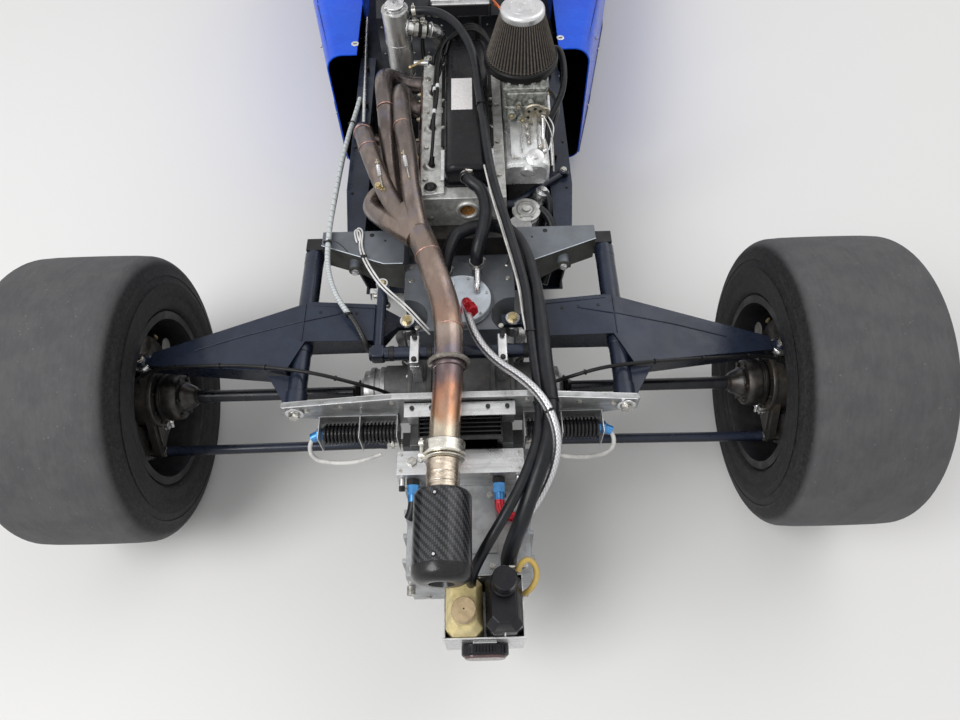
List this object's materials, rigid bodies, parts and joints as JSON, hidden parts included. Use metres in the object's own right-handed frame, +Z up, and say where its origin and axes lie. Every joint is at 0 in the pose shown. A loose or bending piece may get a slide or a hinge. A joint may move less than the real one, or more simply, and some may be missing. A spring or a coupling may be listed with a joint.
{
  "type": "open wheel single seat racing car",
  "caption": "Single seat open wheel racing car on slicks, engine cover and rear wing off, with turning wheels and working steering.",
  "frame": {"origin": "on the ground under the middle of the car", "axes": "+X to the car's right, +Y forward, +Z up"},
  "size_m": [1.672, 3.71, 0.917],
  "materials": {
    "filter": "oiled gauze pleats",
    "arm_black": "black gloss powder coat with a navy sheen",
    "rubber": "black hose rubber",
    "braid": "braided stainless",
    "cover_black": "black crackle paint",
    "carb": "weathered die casting",
    "bottle": "aged pale and black plastic",
    "alloy": "brushed sheet",
    "cooler": "black fins",
    "body_blue": "bright blue gel coat",
    "head": "cast alloy",
    "steel_dark": "oiled dark steel",
    "frame_black": "black gloss paint",
    "engine": "dusty cast iron",
    "exhaust": "stainless with heat tints",
    "upright": "dark brownish black, oily",
    "cast": "grey casting",
    "carbon": "carbon twill",
    "grey_paint": "satin mid grey",
    "radiator": "black radiator core",
    "light": "dark red lens in black case",
    "rim": "cast and machined",
    "seat": "black moulded seat",
    "spring": "dark spring steel and alloy damper",
    "leather": "black suede rim",
    "tub": "dark coated sheet",
    "tyre": "worn slick rubber",
    "screen": "clear screen",
    "wrap": "white spiral wrap"
  },
  "bodies": {
    "chassis": {"air_filter": "filter", "anti_roll_bar": "arm_black", "bottle_hose_thick": "rubber", "bottle_hose_thin": "rubber", "braided_hose": "braid", "brake_lines": "rubber", "breather_hose": "rubber", "cam_cover": "cover_black", "carburettor": "carb", "catch_bottles": "bottle", "catch_tray": "alloy", "centre_cooler": "cooler", "cockpit_surround": "body_blue", "control_box": "alloy", "cylinder_head": "head", "engine_bay_frame": "frame_black", "engine_block": "engine", "exhaust_pipes": "exhaust", "front_rockers": "arm_black", "front_wishbones": "arm_black", "gearbox": "cast", "mirrors": "body_blue", "muffler": "carbon", "nose_cone": "body_blue", "oil_box": "alloy", "oil_tank": "grey_paint", "radiators": "radiator", "rain_light": "light", "rear_beam": "alloy", "rear_calipers": "cast", "rear_crossmember": "grey_paint", "rear_links": "arm_black", "rear_rockers": "arm_black", "rear_uprights": "upright", "roll_hoop": "frame_black", "seat": "seat", "side_coolers": "cooler", "sidepod_left": "body_blue", "sidepod_right": "body_blue", "spring_dampers": "spring", "steering_rack": "alloy", "swirl_pot": "alloy", "tub": "tub", "windscreen": "screen", "wrapped_cable": "wrap"},
    "wheel_rear_left": {"drive_shaft_left": "steel_dark", "rim_rear_left": "rim", "tyre_rear_left": "tyre"},
    "wheel_rear_right": {"drive_shaft_right": "steel_dark", "rim_rear_right": "rim", "tyre_rear_right": "tyre"},
    "knuckle_left": {"front_upright_left": "upright"},
    "knuckle_right": {"front_upright_right": "upright"},
    "wheel_front_left": {"rim_front_left": "rim", "tyre_front_left": "tyre"},
    "wheel_front_right": {"rim_front_right": "rim", "tyre_front_right": "tyre"},
    "steering_wheel": {"steering_wheel": "leather"},
    "steering_rod": {"track_rods": "steel_dark"}
  },
  "joints": [
    {"name": "wheel_rear_left_spin", "type": "hinge", "parent": "chassis", "child": "wheel_rear_left", "pos_m": [-0.706, -1.35, 0.285], "axis": [1, 0, 0], "continuous": true},
    {"name": "wheel_rear_right_spin", "type": "hinge", "parent": "chassis", "child": "wheel_rear_right", "pos_m": [0.706, -1.35, 0.285], "axis": [1, 0, 0], "continuous": true},
    {"name": "steer_left", "type": "hinge", "parent": "chassis", "child": "knuckle_left", "pos_m": [-0.63, 1.15, 0.268], "axis": [0, 0, 1], "range_deg": [-18, 18]},
    {"name": "steer_right", "type": "hinge", "parent": "chassis", "child": "knuckle_right", "pos_m": [0.63, 1.15, 0.268], "axis": [0, 0, 1], "range_deg": [-18.5, 18.5]},
    {"name": "wheel_front_left_spin", "type": "hinge", "parent": "knuckle_left", "child": "wheel_front_left", "pos_m": [-0.7, 1.15, 0.268], "axis": [1, 0, 0], "continuous": true},
    {"name": "wheel_front_right_spin", "type": "hinge", "parent": "knuckle_right", "child": "wheel_front_right", "pos_m": [0.7, 1.15, 0.268], "axis": [1, 0, 0], "continuous": true},
    {"name": "steering_rod_slide", "type": "slide", "parent": "chassis", "child": "steering_rod", "axis": [1, 0, 0], "range_m": [-0.0335, 0.0335]},
    {"name": "steering_wheel_turn", "type": "hinge", "parent": "chassis", "child": "steering_wheel", "pos_m": [0, 0.34, 0.5], "axis": [0, -0.9646, 0.2637], "range_deg": [-185, 185]}
  ],
  "couplings": [
    {"joint": "steer_right", "follows": "steer_left", "ratio": 1},
    {"joint": "steering_rod_slide", "follows": "steer_left", "m_per_rad": -0.1033},
    {"joint": "steering_wheel_turn", "follows": "steer_left", "ratio": 10}
  ]
}
